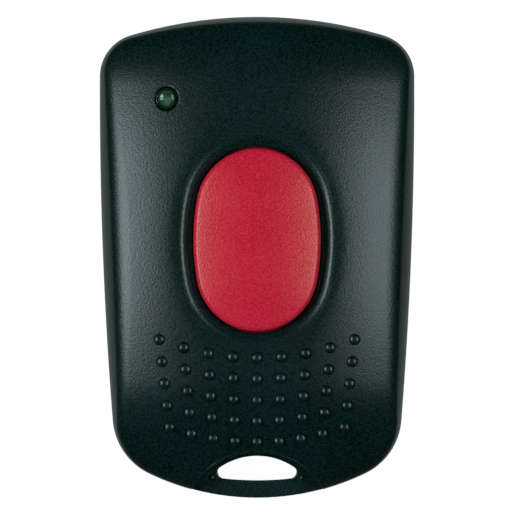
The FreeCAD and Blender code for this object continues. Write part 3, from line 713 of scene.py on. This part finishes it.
# Lamp: resin lens on a collar, and the plate and pale cup that show through it
lamp = {
    "radius": 1.03, "flange": 1.45, "flangeHeight": 0.5, "length": 3.0, "proud": 0.15, "points": 64,
    "collar": 1.25, "collarDown": 0.52, "collarRound": 0.12, "collarRings": 6,
    "capRadius": 1.9, "capEdge": 0.24, "capDrop": 0.3, "capAside": (0.1, 0.24), "capTip": 0.0309,
    "capEdgeRings": 12, "capTopRings": 11,
    "plate": 0.96, "plateTop": 2.2, "plateThick": 0.15,
    "cup": 0.5, "cupWall": 0.06, "cupFloor": 0.3, "cupDeep": 0.12, "cupAside": 0.22, "die": 0.2,
}
lampPlace = Vector((cover["lampX"], cover["lampY"]))
lampFoot = archHeight(*lampPlace) + lamp["proud"] - lamp["length"]
cupPlace = lifted(lampPlace - Vector((0, lamp["cupAside"])), lampFoot + lamp["plateTop"])


def makeLampLens():
    # flange, collar with a soft shoulder, and the lens that stands in the cover's hole
    down = lamp["length"] - lamp["collarDown"]
    profile = [(lamp["flange"], 0), (lamp["flange"], lamp["flangeHeight"]),
               (lamp["collar"], lamp["flangeHeight"])]
    for i in range(lamp["collarRings"] + 1):
        turn = math.radians(90 * i / lamp["collarRings"])
        profile.append((lamp["collar"] - lamp["collarRound"] * (1 - math.cos(turn)),
                        down - lamp["collarRound"] * (1 - math.sin(turn))))
    profile.append((lamp["radius"], down))
    rings = turned(*lampPlace, [(radius, lampFoot + z) for radius, z in profile], lamp["points"])
    apex = lampPlace + Vector(lamp["capAside"])
    top = lampFoot + lamp["length"]
    for inward in inwardSteps(lamp["radius"], lamp["capEdge"], lamp["capTip"], lamp["capEdgeRings"],
                              lamp["capTopRings"]):
        # shallow dome with a rounded edge; its summit is a little off centre
        fall = edgeFall(inward, lamp["capEdge"], lamp["capDrop"])
        rings.append([lifted(point, top - fall - (point - apex).length_squared / (2 * lamp["capRadius"]))
                      for point in circle(*lampPlace, lamp["radius"] - inward, lamp["points"])])
    piece = finishPiece(capped(rings), "lampLens", "root", sharpAngle=60)
    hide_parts("status_lamp")
    print("lamp lens", len(piece.data.polygons))
    return piece


def makeLampCup():
    # flat plate, then a small rimmed cup that stands on it
    top, cup, wall = cupPlace.z, lamp["cup"], lamp["cupWall"]
    plate = [(lamp["plate"], top - lamp["plateThick"]), (lamp["plate"], top)]
    hollow = [(cup + wall, top), (cup, top + wall), (cup - wall, top),
              (lamp["cupFloor"], top - lamp["cupDeep"])]
    rings = turned(*lampPlace, plate, lamp["points"]) + turned(*cupPlace.to_2d(), hollow, lamp["points"])
    mesh = bmesh.new()
    capEnds(mesh, *loft(mesh, rings))
    die = cupPlace + Vector((0, 0, lamp["die"] / 2 - lamp["cupDeep"]))
    bmesh.ops.create_cube(mesh, size=lamp["die"], matrix=Matrix.Translation(die))
    piece = finishPiece(mesh, "lampCup", "root")
    print("lamp cup", len(piece.data.polygons))
    return piece


# Finishes. The grain's depth and the reach of the painted shade in the hollows are in millimetres; a larger
# grainSize is finer.
finishes = {
    "caseBlack": {"base": (0.0011, 0.0099, 0.0092), "rough": 0.3, "roughChange": 0.045, "grainSize": 4300,
                  "grain": 0.017, "speck": (0.0018, 0.0065, 0.0065), "hollow": 0.5,
                  "specular": 0.265, "tint": (0.93, 1.0, 1.0)},
    "buttonRed": {"base": (0.51, 0.0122, 0.037), "rough": 0.3, "roughChange": 0.06, "grainSize": 5200,
                  "grain": 0.022, "speck": (0.06, 0.008, 0.014), "hollow": 0.9,
                  "specular": 0.285, "tint": (1.0, 0.97, 0.62)},
    "zincSteel": {"base": (0.62, 0.62, 0.6), "rough": 0.32, "metallic": 1,
                  "grainSize": 4000, "grain": 0.002},
    "cellSteel": {"base": (0.74, 0.74, 0.72), "rough": 0.25, "metallic": 1,
                  "grainSize": 3000, "grain": 0.001},
    "nickelSheet": {"base": (0.7, 0.68, 0.63), "rough": 0.3, "metallic": 1,
                    "grainSize": 3500, "grain": 0.0015},
    "tinnedCopper": {"base": (0.76, 0.75, 0.73), "rough": 0.3, "metallic": 1,
                     "grainSize": 5000, "grain": 0.002},
    "boardGreen": {"base": (0.02, 0.17, 0.06), "rough": 0.35, "grainSize": 2500, "grain": 0.003},
    "switchBlack": {"base": (0.02, 0.02, 0.022), "rough": 0.45, "grainSize": 6000, "grain": 0.003},
    "chipBlack": {"base": (0.03, 0.03, 0.032), "rough": 0.6, "grainSize": 6000, "grain": 0.004},
    "chipTan": {"base": (0.5, 0.36, 0.22), "rough": 0.5, "grainSize": 6000, "grain": 0.003},
    "resistorBlack": {"base": (0.045, 0.045, 0.055), "rough": 0.35, "grainSize": 6000, "grain": 0.002},
    "coilCopper": {"base": (0.6, 0.22, 0.07), "rough": 0.3, "metallic": 1,
                   "grainSize": 5000, "grain": 0.002},
}
# How the moulded grain is made up, the same in every finish
moulding = {
    "fineDetail": 2, "wideDetail": 3, "wideSize": 0.03, "wideShare": 0.2,
    "darkest": 0.38, "lightest": 0.62, "speckShare": 0.1, "paintedShadeSamples": 8,
}
# Solid parts that wear each finish
wearers = {
    "cellSteel": ["coin_cell", "radio_filter", "clock_crystal"],
    "nickelSheet": ["battery_clip", "battery_contact", "switch_cover", "switch_dome"],
    "tinnedCopper": ["switch_terminals", "lamp_leads", "encoder_chip_legs", "radio_transistor_legs",
                     "aerial_wire"],
    "boardGreen": ["circuit_board"],
    "switchBlack": ["switch_base", "switch_plunger"],
    "chipBlack": ["encoder_chip", "radio_transistor"],
    "chipTan": ["chip_capacitors"],
    "resistorBlack": ["chip_resistors"],
    "coilCopper": ["radio_coil"],
}


def mathNode(tree, operation):
    item = tree.new("ShaderNodeMath")
    item.operation = operation
    return item


def rampNode(tree, stops):
    # colour ramp through a list of places and colours
    ramp = tree.new("ShaderNodeValToRGB")
    elements = ramp.color_ramp.elements
    for end, (position, colour) in zip(elements, (stops[0], stops[-1])):
        end.position = position
        end.color = (*colour, 1)
    for position, colour in stops[1:-1]:
        elements.new(position).color = (*colour, 1)
    return ramp


def makeGrainGroup():
    # fine moulded grain: gives a height for a bump and a slight change of tone
    group = bpy.data.node_groups.new("mouldGrain", "ShaderNodeTree")
    for name, way, kind in [("Place", "INPUT", "NodeSocketVector"), ("Size", "INPUT", "NodeSocketFloat"),
                            ("Height", "OUTPUT", "NodeSocketFloat"), ("Tone", "OUTPUT", "NodeSocketFloat")]:
        group.interface.new_socket(name, in_out=way, socket_type=kind)
    tree, wire = group.nodes, group.links
    start = tree.new("NodeGroupInput")
    end = tree.new("NodeGroupOutput")
    fine = tree.new("ShaderNodeTexNoise")
    fine.inputs["Detail"].default_value = moulding["fineDetail"]
    wire.new(start.outputs["Place"], fine.inputs["Vector"])
    wire.new(start.outputs["Size"], fine.inputs["Scale"])
    share = mathNode(tree, "MULTIPLY")
    share.inputs[1].default_value = moulding["wideSize"]
    wire.new(start.outputs["Size"], share.inputs[0])
    wide = tree.new("ShaderNodeTexNoise")
    wide.inputs["Detail"].default_value = moulding["wideDetail"]
    wire.new(start.outputs["Place"], wide.inputs["Vector"])
    wire.new(share.outputs[0], wide.inputs["Scale"])
    blend = tree.new("ShaderNodeMix")
    blend.inputs["Factor"].default_value = moulding["wideShare"]
    wire.new(fine.outputs["Fac"], blend.inputs["A"])
    wire.new(wide.outputs["Fac"], blend.inputs["B"])
    wire.new(fine.outputs["Fac"], end.inputs["Height"])
    wire.new(blend.outputs["Result"], end.inputs["Tone"])
    return group


grainGroup = makeGrainGroup()


def newMaterial(name):
    # material, with its nodes, links and main shader
    material = bpy.data.materials.new(name)
    material.use_nodes = True
    tree = material.node_tree
    return material, tree.nodes, tree.links, tree.nodes["Principled BSDF"]


def grained(name, base, rough, grainSize, grain, metallic=0, speck=None, roughChange=0.03, specular=0.5,
            tint=(1.0, 1.0, 1.0), hollow=0):
    # opaque finish with the moulded grain in its height, tone and gloss, and painted shade in the hollows
    # where a hollow reach is given
    material, tree, wire, shader = newMaterial(name)
    place = tree.new("ShaderNodeTexCoord")
    texture = tree.new("ShaderNodeGroup")
    texture.node_tree = grainGroup
    texture.inputs["Size"].default_value = grainSize
    wire.new(place.outputs["Object"], texture.inputs["Place"])
    speck = speck or [channel * moulding["speckShare"] for channel in base]
    dark = [max(channel - change, 0) for channel, change in zip(base, speck)]
    light = [min(channel + change, 1) for channel, change in zip(base, speck)]
    ramp = rampNode(tree, [(moulding["darkest"], dark), (moulding["lightest"], light)])
    wire.new(texture.outputs["Tone"], ramp.inputs["Fac"])
    tone = ramp.outputs["Color"]
    if hollow:
        # painted shade: the base colour is darkened by ambient occlusion in the hollows, where shade falls
        shade = tree.new("ShaderNodeAmbientOcclusion")
        shade.samples = moulding["paintedShadeSamples"]
        shade.inputs["Distance"].default_value = hollow * mm
        wire.new(tone, shade.inputs["Color"])
        tone = shade.outputs["Color"]
    wire.new(tone, shader.inputs["Base Color"])
    spread = tree.new("ShaderNodeMapRange")
    spread.inputs["To Min"].default_value = rough - roughChange
    spread.inputs["To Max"].default_value = rough + roughChange
    wire.new(texture.outputs["Tone"], spread.inputs["Value"])
    wire.new(spread.outputs["Result"], shader.inputs["Roughness"])
    bump = tree.new("ShaderNodeBump")
    bump.inputs["Distance"].default_value = grain * mm
    bump.inputs["Strength"].default_value = 1
    wire.new(texture.outputs["Height"], bump.inputs["Height"])
    wire.new(bump.outputs["Normal"], shader.inputs["Normal"])
    shader.inputs["Metallic"].default_value = metallic
    shader.inputs["Specular IOR Level"].default_value = specular
    shader.inputs["Specular Tint"].default_value = (*tint, 1)
    return material


# Clear resin: colours of its glossy skin and of the light that passes, each from cloudy to clear
resin = {
    "skin": [(0.002, 0.008, 0.003), (0.004, 0.012, 0.005)],
    "through": [(0.72, 0.88, 0.76), (0.78, 0.94, 0.82)],
    "cloud": 900, "rough": 0.2, "bending": 1.36, "tint": (0.85, 1, 0.92),
}
# Inside of the lamp: colours outwards from the cup's middle, as shares of a reach
lampColours = {
    "reach": 1.152, "rough": 0.5, "specular": 0.05,
    "stops": [(0.0, (0.085, 0.128, 0.088)), (0.38, (0.07, 0.11, 0.074)), (0.5, (0.018, 0.036, 0.022)),
              (0.72, (0.009, 0.028, 0.012)), (0.95, (0.024, 0.034, 0.028))],
}


def clearResin():
    # clear green lens: glossy skin over a tinted see-through body
    material, tree, wire, shader = newMaterial("lampResin")
    place = tree.new("ShaderNodeTexCoord")
    cloud = tree.new("ShaderNodeTexNoise")
    cloud.inputs["Scale"].default_value = resin["cloud"]
    wire.new(place.outputs["Object"], cloud.inputs["Vector"])
    through = tree.new("ShaderNodeBsdfTransparent")
    for (cloudy, clear), socket in [(resin["skin"], shader.inputs["Base Color"]),
                                    (resin["through"], through.inputs["Color"])]:
        ramp = rampNode(tree, [(0, cloudy), (1, clear)])
        wire.new(cloud.outputs["Fac"], ramp.inputs["Fac"])
        wire.new(ramp.outputs["Color"], socket)
    shader.inputs["Roughness"].default_value = resin["rough"]
    shader.inputs["IOR"].default_value = resin["bending"]
    shader.inputs["Specular Tint"].default_value = (*resin["tint"], 1)
    both = tree.new("ShaderNodeAddShader")
    wire.new(shader.outputs["BSDF"], both.inputs[0])
    wire.new(through.outputs["BSDF"], both.inputs[1])
    wire.new(both.outputs["Shader"], tree["Material Output"].inputs["Surface"])
    return material


def lampInside():
    # pale cup in a dark green plate, with a greyer edge
    material, tree, wire, shader = newMaterial("lampInside")
    place = tree.new("ShaderNodeTexCoord")
    away = tree.new("ShaderNodeVectorMath")
    away.operation = "DISTANCE"
    away.inputs[1].default_value = cupPlace * mm
    wire.new(place.outputs["Object"], away.inputs[0])
    share = mathNode(tree, "DIVIDE")
    share.inputs[1].default_value = lampColours["reach"] * mm
    wire.new(away.outputs["Value"], share.inputs[0])
    ramp = rampNode(tree, lampColours["stops"])
    wire.new(share.outputs["Value"], ramp.inputs["Fac"])
    wire.new(ramp.outputs["Color"], shader.inputs["Base Color"])
    shader.inputs["Roughness"].default_value = lampColours["rough"]
    shader.inputs["Specular IOR Level"].default_value = lampColours["specular"]
    return material


def dress(piece, material):
    piece.data.materials.clear()
    piece.data.materials.append(material)


materials = {name: grained(name, **values) for name, values in finishes.items()}
dress(makeFrontCover(), materials["caseBlack"])
dress(makeRearCover(), materials["caseBlack"])
dress(makeButton(), materials["buttonRed"])
dress(makeScrew(), materials["zincSteel"])
dress(makeLampLens(), clearResin())
dress(makeLampCup(), lampInside())
for finish, names in wearers.items():
    for name in names:
        dress(nodes[name], materials[finish])
print("finishes on", len(nodes), "nodes")

# Studio: pale floor and two long soft lights, one at each side. The floor lies just under the back.
studio = {
    "floorSize": 1.6, "floorUnder": 0.02, "floorPlain": 0.3, "floorShade": 0.14, "floorGlow": 0.945,
    "floorMirror": 0.305, "floorAim": 0.89, "mirrorTint": (0.8, 1.0, 0.98), "floorRough": 0.9, "sky": 0.008,
    "lightDistance": 0.55, "lightLong": 0.3, "lightTall": 0.15, "lightAhead": 0.02,
    "leftHeight": 50.3, "rightHeight": 56.0, "leftPower": 2.48, "rightPower": 1.62,
    "lightColour": (0.88, 1.0, 1.03),
    "lensHeight": 0.3546, "lens": 210.3, "cameraX": 0.05, "sensor": 36, "nearest": 0.01,
}


def tintNode(tree, plain, other):
    item = tree.new("ShaderNodeMix")
    item.data_type = "RGBA"
    item.inputs["A"].default_value = (*plain, 1)
    item.inputs["B"].default_value = (*other, 1)
    return item


def floorFinish():
    # white to the camera, with the object's faint shadow, and pale in reflections; plain to other light
    material, tree, wire, shader = newMaterial("paleFloor")
    path = tree.new("ShaderNodeLightPath")
    camera = path.outputs["Is Camera Ray"]
    mirrored = mathNode(tree, "MAXIMUM")
    wire.new(path.outputs["Is Glossy Ray"], mirrored.inputs[0])
    wire.new(path.outputs["Is Transmission Ray"], mirrored.inputs[1])
    seen = mathNode(tree, "MAXIMUM")
    wire.new(camera, seen.inputs[0])
    wire.new(mirrored.outputs["Value"], seen.inputs[1])
    colour = tintNode(tree, [studio["floorPlain"]] * 3, [studio["floorShade"]] * 3)
    wire.new(seen.outputs["Value"], colour.inputs["Factor"])
    wire.new(colour.outputs["Result"], shader.inputs["Base Color"])
    # in a reflection the floor is dimmer than to the camera, and fades towards a grazing look
    slant = tree.new("ShaderNodeLayerWeight")
    slant.inputs["Blend"].default_value = studio["floorAim"]
    dimmer = tree.new("ShaderNodeMapRange")
    dimmer.inputs["To Min"].default_value = studio["floorMirror"]
    dimmer.inputs["To Max"].default_value = 0
    wire.new(slant.outputs["Facing"], dimmer.inputs["Value"])
    direct = mathNode(tree, "MULTIPLY")
    direct.inputs[1].default_value = studio["floorGlow"]
    wire.new(camera, direct.inputs[0])
    brighter = mathNode(tree, "MAXIMUM")
    wire.new(dimmer.outputs["Result"], brighter.inputs[0])
    wire.new(direct.outputs["Value"], brighter.inputs[1])
    glow = mathNode(tree, "MULTIPLY")
    wire.new(seen.outputs["Value"], glow.inputs[0])
    wire.new(brighter.outputs["Value"], glow.inputs[1])
    wire.new(glow.outputs["Value"], shader.inputs["Emission Strength"])
    tint = tintNode(tree, studio["mirrorTint"], (1, 1, 1))
    wire.new(camera, tint.inputs["Factor"])
    wire.new(tint.outputs["Result"], shader.inputs["Emission Color"])
    shader.inputs["Roughness"].default_value = studio["floorRough"]
    shader.inputs["Specular IOR Level"].default_value = 0
    return material


def makeFloor():
    mesh = bmesh.new()
    bmesh.ops.create_grid(mesh, x_segments=1, y_segments=1, size=studio["floorSize"] / 2,
                          matrix=Matrix.Translation((0, 0, -studio["floorUnder"] * mm)))
    floor = objectFrom(mesh, "floor")
    dress(floor, floorFinish())


def makeSky():
    world = bpy.data.worlds.new("studioSky")
    world.use_nodes = True
    background = world.node_tree.nodes["Background"]
    background.inputs["Color"].default_value = (1, 1, 1, 1)
    background.inputs["Strength"].default_value = studio["sky"]
    bpy.context.scene.world = world


def softLight(name, azimuth, height, power):
    # long soft light aimed at the middle of the floor
    data = bpy.data.lights.new(name, "AREA")
    data.shape = "RECTANGLE"
    data.size = studio["lightLong"]
    data.size_y = studio["lightTall"]
    data.energy = power
    data.color = studio["lightColour"]
    light = bpy.data.objects.new(name, data)
    turn, rise = math.radians(azimuth), math.radians(height)
    reach = studio["lightDistance"]
    light.location = (reach * math.cos(rise) * math.cos(turn), studio["lightAhead"], reach * math.sin(rise))
    light.rotation_euler = (-light.location).to_track_quat("-Z", "Y").to_euler()
    bpy.context.scene.collection.objects.link(light)


def makeCamera():
    # straight down on the face, from hand's reach
    data = bpy.data.cameras.new("camera")
    data.lens = studio["lens"]
    data.sensor_width = studio["sensor"]
    data.clip_start = studio["nearest"]
    camera = bpy.data.objects.new("camera", data)
    camera.location = (studio["cameraX"] * mm, 0, studio["lensHeight"])
    bpy.context.scene.collection.objects.link(camera)
    bpy.context.scene.camera = camera


makeFloor()
makeSky()
softLight("leftLight", 180, studio["leftHeight"], studio["leftPower"])
softLight("rightLight", 0, studio["rightHeight"], studio["rightPower"])
makeCamera()
print("studio with floor, sky, two lights and camera")
bpy.context.scene.view_settings.view_transform = "Standard"
